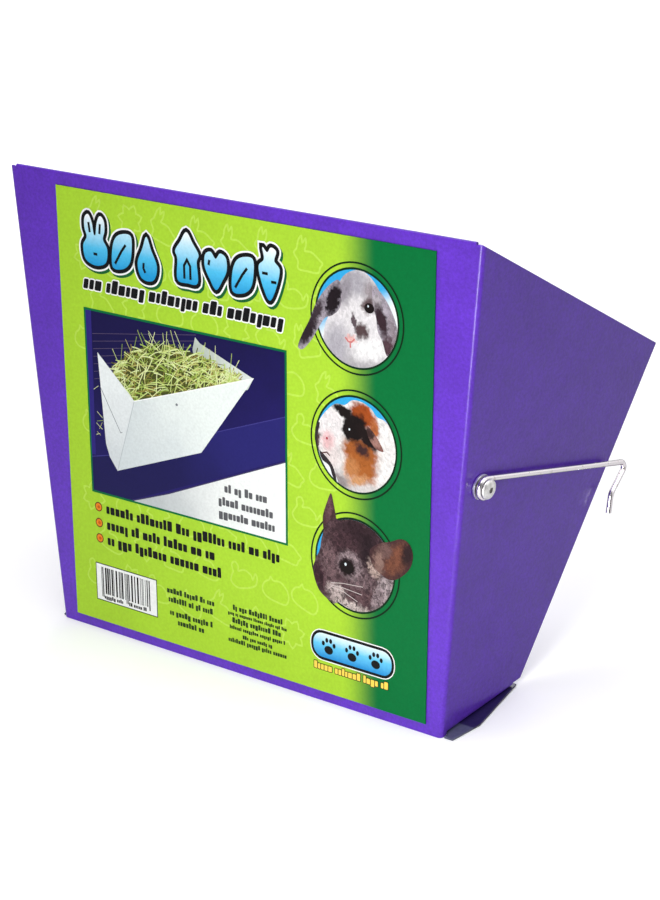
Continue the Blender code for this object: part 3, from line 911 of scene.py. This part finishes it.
def sky_disc(name, y):
    """The blue backdrop that fades to white on the right and at the bottom."""
    made = Finish(name)
    place = made.split(made.local(circle_frame(y), CIRCLE_RADIUS * card.height))
    across = made.math("MULTIPLY", place["X"], 0.6)
    slope = made.math("ADD", across, made.math("MULTIPLY", place["Y"], 1.2))
    fade = made.remap(slope, -0.50, 0.10, smooth=True)
    ink_surface(made, made.mix(fade, linear(SKY), linear(SKY_PALE)))
    return made.material


def within(points, left=-2.0):
    """Points outside the circle and right of this x are drawn in to the circle's edge."""
    drawn = []
    for x, y in points:
        reach = max(1.0, hypot(x, y)) if x > left else 1.0
        drawn.append((x / reach, y / reach))
    return drawn


class Portrait:
    """A round picture: rings, backdrop and plates in the circle's own units."""

    def __init__(self, name, y):
        self.y = y
        self.art = Print("card_print_" + name, 3)
        self.add_rings(name)

    def add_rings(self, name):
        outer, rim, disc = [
            ellipse(CIRCLE_X, self.y, CIRCLE_RADIUS * share, CIRCLE_RADIUS * share, steps=72)
            for share in (OUTER_RING, CIRCLE_RIM, 1)
        ]
        self.art.line(outer, OUTER_RING_WIDTH, ink(RING_GREEN), closed=True)
        self.art.plate(rim, ink(RIM_GREEN), 0.0)
        self.art.plate(disc, sky_disc(name + "_backdrop", self.y), 1.0)

    def shape(self, points, finish, layer, clip_left=None, smooth=True):
        outline = smooth_loop(points) if smooth else list(points)
        if clip_left is not None:
            outline = within(outline, clip_left)
        self.art.plate(moved(outline, CIRCLE_X, self.y, CIRCLE_RADIUS), finish, layer)

    def stroke(self, points, width, finish, layer):
        placed = moved(points, CIRCLE_X, self.y, CIRCLE_RADIUS)
        self.art.line(placed, width * CIRCLE_RADIUS, finish, layer)

    def eye(self, x, y, radius, layer):
        self.shape(ellipse(x, y, radius * 1.15, radius, steps=20), ink(EYE_BLACK), layer, smooth=False)
        glint = ellipse(x - radius * 0.25, y - radius * 0.35, radius * 0.2, radius * 0.24, steps=10)
        self.shape(glint, ink(EYE_GLINT), layer + 0.8, smooth=False)


def lop_rabbit():
    """A white and grey lop-eared rabbit, seen from the front; one ear hangs out of the circle."""
    picture = Portrait("rabbit", CIRCLE_YS[0])
    body = fur("rabbit_fur", CIRCLE_YS[0], (226, 222, 224), (
        (-.05, .95, .8, .35, 0, .5, (176, 172, 176)),
        (-.55, .62, .3, .45, 20, .6, (178, 174, 182)),
        (-.02, -.75, .34, .3, 0, .6, (172, 168, 176)),
        (-.3, -.55, .16, .34, 12, .6, (150, 144, 152)),
        (.44, -.52, .22, .3, -30, .5, (148, 138, 142)),
        (.12, .24, .17, .17, 0, .35, (84, 66, 68)),
        (-.07, .06, .055, .15, -10, .4, (92, 78, 84)),
        (.3, -.3, .17, .15, 0, .4, (92, 74, 76)),
        (-.14, .44, .12, .06, 0, .6, (226, 176, 170)),
        (.3, .6, .4, .2, -15, .7, (242, 240, 240)),
    ), grain=9, contrast=.2)
    ears = fur("rabbit_ear_fur", CIRCLE_YS[0], (172, 163, 174), (
        (-.58, -.3, .16, .38, 20, .3, (30, 22, 28)),
        (-1.02, .02, .11, .32, 30, .5, (66, 54, 62)),
        (-1.26, .46, .15, .36, 35, .4, (46, 34, 42)),
        (-1.1, .72, .07, .3, 42, .5, (214, 210, 216)),
        (.5, -.44, .12, .14, 0, .5, (178, 170, 176)),
        (.62, -.06, .13, .34, -20, .4, (58, 40, 48)),
        (.9, .1, .08, .34, -12, .5, (150, 138, 146)),
        (.76, .46, .16, .22, 0, .4, (84, 60, 68)),
    ), grain=11, contrast=.35, lie=62, mottle=.25)
    picture.shape(((-.02, -1), (.22, -.97), (.46, -.78), (.62, -.5), (.86, .1), (.96, .5),
                   (.7, .9), (0, 1.15), (-.6, .95), (-.82, .62), (-.78, .22), (-.62, -.1),
                   (-.52, -.5), (-.32, -.84)), body, 2, clip_left=-2)
    picture.shape(((-.44, -.72), (-.36, -.46), (-.42, -.16), (-.6, .02), (-.8, .12),
                   (-1, .42), (-1.16, .66), (-1.36, .86), (-1.48, .82), (-1.38, .56), (-1.2, .24),
                   (-1.04, -.12), (-.84, -.42), (-.62, -.64)), ears, 3)
    picture.shape(((.4, -.74), (.66, -.56), (.86, -.28), (.99, .02), (.99, .3), (.86, .6),
                   (.74, .62), (.64, .36), (.52, .16), (.48, -.1), (.4, -.36)), ears, 3, clip_left=-2)
    picture.eye(.31, -.27, .105, 4)
    picture.stroke(((-.28, .42), (-.2, .5), (-.12, .5), (-.04, .42)), .035, ink(PINK), 4)
    picture.stroke(((-.155, .5), (-.145, .62)), .035, ink(PINK), 4.5)
    picture.art.finish()


def guinea_pig():
    """A white, orange and black guinea pig that looks to the left."""
    picture = Portrait("guinea_pig", CIRCLE_YS[1])
    body = fur("guinea_pig_fur", CIRCLE_YS[1], (236, 232, 230), (
        (.3, .92, .6, .2, 0, .6, (208, 202, 200)),
        (-.42, .86, .26, .2, 0, .6, (150, 140, 140)),
        (.2, -.66, .34, .24, 24, .3, (156, 72, 28)),
        (.48, -.42, .13, .2, 0, .4, (178, 102, 58)),
        (.12, .14, .46, .32, 8, .3, (164, 92, 44)),
        (.16, .46, .38, .3, 20, .35, (166, 94, 42)),
        (-.12, .52, .2, .22, 0, .5, (192, 126, 76)),
        (.06, .74, .24, .1, -20, .6, (206, 150, 104)),
        (-.04, -.36, .27, .34, 38, .2, (22, 14, 14)),
        (-.3, -.66, .26, .13, 22, .3, (24, 16, 16)),
        (.28, -.22, .34, .16, 40, .3, (26, 16, 16)),
        (.16, .08, .18, .13, 30, .5, (62, 38, 38)),
        (-.62, -.3, .28, .34, 12, .25, (236, 230, 230)),
        (-.62, .34, .24, .28, 0, .4, (226, 214, 212)),
        (-.72, .04, .16, .16, 0, .8, (228, 184, 186)),
        (-1, .1, .08, .36, 0, .4, (86, 62, 62)),
    ), grain=9, contrast=.26, lie=55)
    dark = fur("guinea_pig_chin_fur", CIRCLE_YS[1], (52, 44, 48), (), grain=12, contrast=.35)
    ear = fur("guinea_pig_ear_fur", CIRCLE_YS[1], (118, 78, 72), (
        (.46, -.22, .22, .1, 40, .5, (164, 122, 112)),
        (.36, -.3, .12, .14, 40, .5, (60, 40, 38)),
    ), grain=10, contrast=.2)
    picture.shape(((-1.04, -.06), (-.94, -.34), (-.76, -.58), (-.52, -.78), (-.28, -.8), (-.1, -.93),
                   (.14, -.94), (.38, -.84), (.52, -.7), (.74, -.64), (.98, -.4), (1.1, .2),
                   (.8, .78), (.2, 1.1), (-.3, 1.04), (-.52, .74), (-.66, .52), (-.9, .36),
                   (-1.02, .16)), body, 2, clip_left=-2)
    picture.shape(((-.92, .3), (-.66, .48), (-.54, .66), (-.48, .9), (-.58, .8), (-.68, .58),
                   (-.86, .48)), dark, 3, clip_left=-2)
    picture.shape(((-1.02, -.22), (-.92, -.3), (-.98, -.02), (-.99, .2), (-1.05, .06)), dark, 3)
    picture.shape(((.28, -.46), (.44, -.36), (.6, -.18), (.7, 0), (.52, -.02), (.4, -.12),
                   (.3, -.28)), ear, 3)
    picture.eye(-.135, -.27, .1, 4)
    picture.shape(ellipse(-.735, 0, .028, .03, steps=12), ink(NOSE_RED), 4, smooth=False)
    picture.stroke(((-.86, .34), (-.74, .3), (-.66, .36)), .03, ink(MOUTH_BROWN), 4)
    picture.art.finish()


def chinchilla():
    """A grey-brown chinchilla that looks to the left; both ears reach out of the circle."""
    picture = Portrait("chinchilla", CIRCLE_YS[2])
    coat = fur("chinchilla_fur", CIRCLE_YS[2], (94, 70, 75), (
        (.1, -.72, .54, .28, 12, .6, (52, 34, 40)),
        (.34, -.3, .22, .42, 10, .6, (40, 26, 32)),
        (-.3, -.4, .34, .3, 0, .6, (78, 54, 60)),
        (-.66, .1, .24, .44, -14, .6, (124, 98, 102)),
        (.16, .3, .34, .3, 0, .6, (126, 104, 108)),
        (.1, .66, .44, .18, -10, .6, (104, 78, 82)),
        (-.14, .02, .3, .3, 0, .35, (166, 146, 150)),
        (-.2, .08, .21, .21, 0, .25, (44, 28, 32)),
        (.8, .34, .22, .42, 24, .4, (188, 172, 174)),
        (.6, .6, .13, .3, 30, .4, (160, 142, 146)),
        (-.5, .66, .24, .16, 0, .4, (206, 188, 184)),
        (-.1, .94, .5, .12, 6, .5, (222, 206, 200)),
        (-.94, .4, .12, .24, -14, .5, (70, 44, 52)),
        (.5, -.06, .14, .22, -20, .4, (206, 180, 170)),
    ), grain=12, contrast=.55, lie=70, mottle=.75)
    ear = fur("chinchilla_ear_fur", CIRCLE_YS[2], (74, 48, 50), (
        (1.08, -.4, .22, .44, 35, .5, (124, 76, 58)),
        (.78, -.52, .16, .2, 30, .5, (112, 84, 80)),
        (.62, -.2, .12, .26, 0, .5, (150, 118, 108)),
        (1.36, -.58, .14, .28, 20, .5, (48, 32, 34)),
        (-.66, -1.1, .08, .3, 8, .5, (112, 78, 84)),
    ), grain=12, contrast=.35, lie=50, mottle=.35)
    picture.shape(((-.8, -.56), (-.84, -.9), (-.74, -1.22), (-.63, -1.46), (-.56, -1.24),
                   (-.5, -.98), (-.48, -.72), (-.62, -.56)), ear, 2)
    picture.shape(((-.86, -.46), (-.72, -.8), (-.46, -.98), (0, -1.06), (.42, -.96), (.74, -.68),
                   (1.02, -.1), (1.05, .4), (.7, .9), (.1, 1.1), (-.46, 1), (-.84, .84),
                   (-1, .66), (-1.1, .36), (-1.04, .1), (-.92, -.16)), coat, 3, clip_left=-.5)
    picture.shape(((.4, -.46), (.62, -.64), (.9, -.74), (1.17, -.86), (1.38, -.8), (1.48, -.58),
                   (1.42, -.3), (1.24, -.08), (1.04, .06), (.84, .09), (.68, .02), (.5, -.08),
                   (.4, -.26)), ear, 4)
    picture.eye(-.2, .07, .15, 5)
    picture.shape(ellipse(-1, .5, .06, .09, radians(-24), 14), ink(NOSE_BROWN), 5, smooth=False)
    for rise, end in ((0, (.22, .42)), (.1, (.2, .6)), (.18, (.08, .78))):
        picture.stroke(((-.62, .52 + rise * .5), (-.3, .46 + rise), end), .014, ink(WHISKER), 5)
    picture.art.finish()


# ---- the picture of a rack in use

CAGE = (34, 27, 100)
CAGE_DARK = (22, 17, 70)
CAGE_WIRE = (96, 84, 112)
CAGE_POST = (46, 38, 122)
TRAY, TRAY_DARK, TRAY_EDGE = (38, 35, 108), (27, 24, 80), (62, 58, 134)
SHELF_SHADE, SHELF_EDGE = (188, 194, 196), (58, 52, 96)
RACK_WHITE = (236, 243, 239)
RACK_INSIDE, RACK_INSIDE_DARK = (214, 222, 216), (170, 180, 168)
RACK_WING, RACK_WING_DARK = (238, 243, 243), (212, 218, 221)
RACK_FRONT_DARK = (212, 220, 222)
RACK_LINE, RACK_CORNER = (120, 126, 132), (186, 194, 198)
RACK_RIM, RACK_WING_RIM = (250, 252, 250), (228, 234, 234)
SHELF_WHITE = (240, 243, 241)
HAY_SHADOW = (66, 70, 30)
HAY = (
    (92, 96, 36), (118, 132, 48), (150, 134, 66), (146, 172, 72),
    (172, 198, 94), (190, 190, 114), (204, 220, 138), (222, 232, 172),
)
BLADES = 620
STEMS = 34
LOOSE_STEMS = 7


def shaded(name, colour, dark, from_point, to_point):
    """An ink that runs from one colour to another between two points of the card."""
    made = Finish(name)
    place = made.local(card.matrix, card.height)
    start = Vector((*from_point, 0))
    run = Vector((*to_point, 0)) - start
    along = made.math3("DOT_PRODUCT", made.math3("SUBTRACT", place, start), run / run.length_squared)
    cloud = made.math("MULTIPLY", made.math("SUBTRACT", made.noise(60, 2.0), 0.5), 0.5)
    share = made.remap(made.math("ADD", along, cloud), 0.0, 1.0, smooth=True)
    ink_surface(made, made.mix(share, linear(colour), linear(dark)))
    return made.material


def cage_backdrop(art):
    """The cage behind the rack: a dark wall with wires, its base tray and the shelf in front."""
    art.plate(box(*PICTURE), ink(FRAME_GREEN), 0.0)
    x0, y0, x1, y1 = inset(PICTURE, PICTURE_BORDER)
    wall = shaded("cage_wall", CAGE, CAGE_DARK, (0.35, y1), (0.25, y0))
    art.plate(box(x0, y0, x1, y1), wall, 1.0)
    wire = ink(CAGE_WIRE)
    for step in range(7):
        drop = 0.0115 * step
        ends = [(x0 + 0.018, y0 + 0.052 + drop * 1.5), (0.39, y0 + 0.004 + drop * 1.15)]
        art.line(ends, 0.0010, wire, 2.0)
    post = [(x0, y0), (x0 + 0.017, y0), (x0 + 0.012, y1 - 0.085), (x0, y1 - 0.085)]
    art.plate(post, ink(CAGE_POST), 3.2)
    tray = shaded("cage_tray", TRAY, TRAY_DARK, (0.45, 0.445), (0.30, 0.606))
    tray_sides = [(x0, 0.605), (x0 + 0.06, 0.590), (x1, 0.405), (x1, 0.500), (0.185, y1), (x0, y1)]
    art.plate(tray_sides, tray, 3.6)
    art.line([(x0, 0.606), (x0 + 0.06, 0.591), (x1, 0.406)], 0.0020, ink(TRAY_EDGE), 4.2)
    shelf = shaded("shelf", SHELF_WHITE, SHELF_SHADE, (0.50, 0.666), (0.24, 0.671))
    art.plate([(x1, 0.506), (x1, y1), (0.190, y1), (0.300, 0.646)], shelf, 4.6)
    art.line([(0.190, y1), (0.300, 0.645), (x1, 0.504)], 0.0030, ink(SHELF_EDGE), 5.0)


def little_rack(art):
    """A white rack of the same shape, hooked on the cage."""
    front_left, front_right, front_foot = (0.207, 0.452), (0.547, 0.338), (0.149, 0.624)
    wing_back = (0.103, 0.360)
    inside = shaded("rack_inside", RACK_INSIDE, RACK_INSIDE_DARK, (0.53, 0.304), (0.42, 0.405))
    far_wing = [
        (0.388, 0.276), (0.400, 0.287), (0.546, 0.339), (0.530, 0.366), (0.400, 0.397), (0.380, 0.304),
    ]
    art.plate(far_wing, inside, 5.4)
    wing = shaded("rack_wing", RACK_WING, RACK_WING_DARK, (0.115, 0.405), (0.18, 0.606))
    art.plate([wing_back, front_left, front_foot, (0.127, 0.596), (0.117, 0.567)], wing, 7.4)
    front = shaded("rack_front", RACK_WHITE, RACK_FRONT_DARK, (0.40, 0.405), (0.20, 0.586))
    art.plate([front_left, front_right, (0.398, 0.531), front_foot], front, 7.4)
    art.line([(0.107, 0.437), (0.163, 0.533), (0.168, 0.531)], 0.0016, ink(RACK_LINE), 8.2)
    art.plate(ellipse(0.331, 0.436, 0.0035, 0.0030, steps=12), ink(RACK_LINE), 8.2)
    art.line([front_left, front_right], 0.0022, ink(RACK_RIM), 8.6)
    art.line([front_left, front_foot], 0.0018, ink(RACK_CORNER), 8.6)
    art.line([wing_back, front_left], 0.0020, ink(RACK_WING_RIM), 8.9)


def height_at(line, x):
    """The y of a line of points at this x."""
    for (x0, y0), (x1, y1) in zip(line, line[1:]):
        if x <= x1:
            return y0 + (y1 - y0) * (x - x0) / (x1 - x0)
    return line[-1][1]


def hay_heap(art):
    """Hay over the rack's rim: a dark heap, a mass of blades with the lighter ones on top, long stems."""
    crown = (
        (0.145, 0.400), (0.170, 0.366), (0.215, 0.332), (0.270, 0.312),
        (0.330, 0.307), (0.400, 0.314), (0.455, 0.329), (0.505, 0.349),
    )
    rim = ((0.145, 0.401), (0.207, 0.455), (0.505, 0.354))
    art.plate(list(crown) + list(rim[:0:-1]), ink(HAY_SHADOW), 5.9)
    dice = random.Random(17)
    for order in range(BLADES):
        x = dice.uniform(0.150, 0.505)
        top, bottom = height_at(crown, x), height_at(rim, x)
        y = top + (bottom - top) * dice.random()
        turn = dice.choice((-0.35, -0.35, 0.25, -1.2)) + dice.gauss(0.0, 0.35)
        half = dice.uniform(0.008, 0.024)
        reach_x, reach_y = half * cos(turn), half * sin(turn)
        bow = dice.uniform(-0.2, 0.2) * half
        points = [(x - reach_x, y - reach_y), (x + bow, y - abs(bow)), (x + reach_x, y + reach_y)]
        light = order / BLADES + dice.uniform(-0.3, 0.3)
        colour = HAY[min(len(HAY) - 1, max(0, int(light * len(HAY))))]
        art.line(points, dice.uniform(0.0012, 0.0028), ink(colour), 6.2 + order / BLADES)
    for order in range(STEMS):
        x = dice.uniform(0.16, 0.49)
        y = height_at(crown, x) + 0.012
        turn = dice.uniform(-2.5, -0.5)
        length = dice.uniform(0.020, 0.058)
        end = (x + length * cos(turn), max(y + length * sin(turn), 0.266))
        art.line([(x, y), end], 0.0014, ink(dice.choice(HAY[3:])), 7.22 + 0.004 * order)
    for order in range(LOOSE_STEMS):
        x = 0.078 + 0.022 * dice.random()
        y = 0.44 + 0.14 * dice.random()
        end = (x + dice.uniform(0.008, 0.022), y + dice.uniform(-0.018, 0.018))
        art.line([(x, y), end], 0.0012, ink(dice.choice(HAY[2:])), 7.0 + 0.01 * order)


def picture_caption(art):
    dice = random.Random(31)
    for line in CAPTION:
        dummy_line(art, line, CAPTION_GREY, dice, halo=SHELF_WHITE)


def rack_picture():
    art = Print("card_print_picture", 3)
    cage_backdrop(art)
    little_rack(art)
    hay_heap(art)
    art.layer += CAPTION_LAYERS_UP
    picture_caption(art)
    art.finish()


def dress_card():
    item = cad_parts["label_card"]
    item.data.materials.clear()
    item.data.materials.append(card_face())
    doodles()
    heading()
    tagline()
    bullets()
    small_print()
    barcode()
    badge()
    lop_rabbit()
    guinea_pig()
    chinchilla()
    rack_picture()


# ---- studio and camera

CAMERA_AIM = Vector((-0.0003, 0.0465, 0.0730))
CAMERA_DISTANCE = 0.99
CAMERA_AZIMUTH = radians(40.24)
CAMERA_ELEVATION = radians(24.46)
CAMERA_ROLL = radians(-5.55)
LENS = 93.57
FLOOR_RADIUS = 6.0
WHITE_SIDE = (0.0, 0.8, 0.6)
WHITE_EDGE = (-0.1, 0.5)
FLOOR_SEEN = (0.94, 0.94, 0.94, 1)
FLOOR_BOUNCE = (0.36, 0.36, 0.36, 1)
FLOOR_MIRRORED = 0.6
FLOOR_GLOW = (0.12, 0.85)
FLOOR_GLOW_REACH = (0.2, 1.6)
FLOOR_SPACE = 0.02 * MM
ROOM_LEVEL = 0.18
MIDDLE = (cad_box[0] + cad_box[1]) / 2

# Name, place, aim, width and height, and power in watts.
SOFT_BOXES = (
    ("front_soft_box", (0.17, -0.40, 0.16), (0.08, -0.02, 0.09), (0.16, 0.26), 1.75),
    ("right_soft_box", (1.5, 0.5, 0.9), MIDDLE, (0.8, 0.8), 2.2),
    ("back_soft_box", (-0.4, 1.5, 0.9), MIDDLE, (1.0, 1.0), 9),
    ("top_soft_box", (0.0, 0.1, 1.9), MIDDLE, (1.6, 1.6), 27),
)


def studio_floor():
    made = Finish("studio_floor")
    ray = made.add("ShaderNodeLightPath").outputs
    seen = ray["Is Camera Ray"]
    shown = made.math("ADD", seen, made.math("MULTIPLY", ray["Is Glossy Ray"], FLOOR_MIRRORED))
    made.set(Base_Color=made.mix(shown, FLOOR_BOUNCE, FLOOR_SEEN), Roughness=0.8, Specular_IOR_Level=0.1)
    glow = made.remap(made.math3("LENGTH", made.place), *FLOOR_GLOW_REACH, *FLOOR_GLOW, smooth=True)
    made.set(Emission_Color=(1, 1, 1, 1), Emission_Strength=made.math("MULTIPLY", seen, glow))
    builder = bmesh.new()
    bmesh.ops.create_circle(builder, cap_ends=True, segments=64, radius=FLOOR_RADIUS)
    data = bpy.data.meshes.new("studio_floor")
    builder.to_mesh(data)
    builder.free()
    data.materials.append(made.material)
    floor = bpy.data.objects.new("studio_floor", data)
    floor.location.z = cad_box[0].z - FLOOR_SPACE
    bpy.context.scene.collection.objects.link(floor)


def world_light(level):
    """A backdrop that the camera sees white and that lights the room at this lower level.

    In reflections it is white above and behind the object and dark behind the camera, which draws the
    shape of bright metal.
    """
    world = bpy.data.worlds.new("studio")
    world.use_nodes = True
    graph = Graph(world.node_tree)
    seen = graph.add("ShaderNodeLightPath").outputs
    direction = graph.add("ShaderNodeTexCoord").outputs["Generated"]
    toward = graph.math3("DOT_PRODUCT", direction, WHITE_SIDE)
    white = graph.remap(toward, *WHITE_EDGE, smooth=True)
    mirrored = graph.math("MULTIPLY", seen["Is Glossy Ray"], white)
    bright = graph.math("ADD", seen["Is Camera Ray"], mirrored)
    background = world.node_tree.nodes["Background"]
    background.inputs["Color"].default_value = (1, 1, 1, 1)
    graph.feed(background.inputs["Strength"], graph.remap(bright, 0.0, 1.0, level, 1.0))
    bpy.context.scene.world = world


def soft_box(name, place, aim, size, power):
    data = bpy.data.lights.new(name, "AREA")
    data.shape = "RECTANGLE"
    data.size, data.size_y = size
    data.energy = power
    lamp = bpy.data.objects.new(name, data)
    lamp.location = place
    lamp.rotation_euler = (Vector(aim) - Vector(place)).to_track_quat("-Z", "Y").to_euler()
    bpy.context.scene.collection.objects.link(lamp)


def camera():
    data = bpy.data.cameras.new("camera")
    data.lens = LENS
    item = bpy.data.objects.new("camera", data)
    look = Vector((
        -sin(CAMERA_AZIMUTH) * cos(CAMERA_ELEVATION),
        cos(CAMERA_AZIMUTH) * cos(CAMERA_ELEVATION),
        -sin(CAMERA_ELEVATION),
    ))
    item.location = CAMERA_AIM - look * CAMERA_DISTANCE
    level = look.to_track_quat("-Z", "Y").to_matrix()
    item.rotation_euler = (level @ Matrix.Rotation(CAMERA_ROLL, 3, "Z")).to_euler()
    bpy.context.scene.collection.objects.link(item)
    bpy.context.scene.camera = item


bpy.context.scene.view_settings.view_transform = "Standard"
dress_metal()
dress_card()
studio_floor()
world_light(ROOM_LEVEL)
for soft_box_values in SOFT_BOXES:
    soft_box(*soft_box_values)
camera()
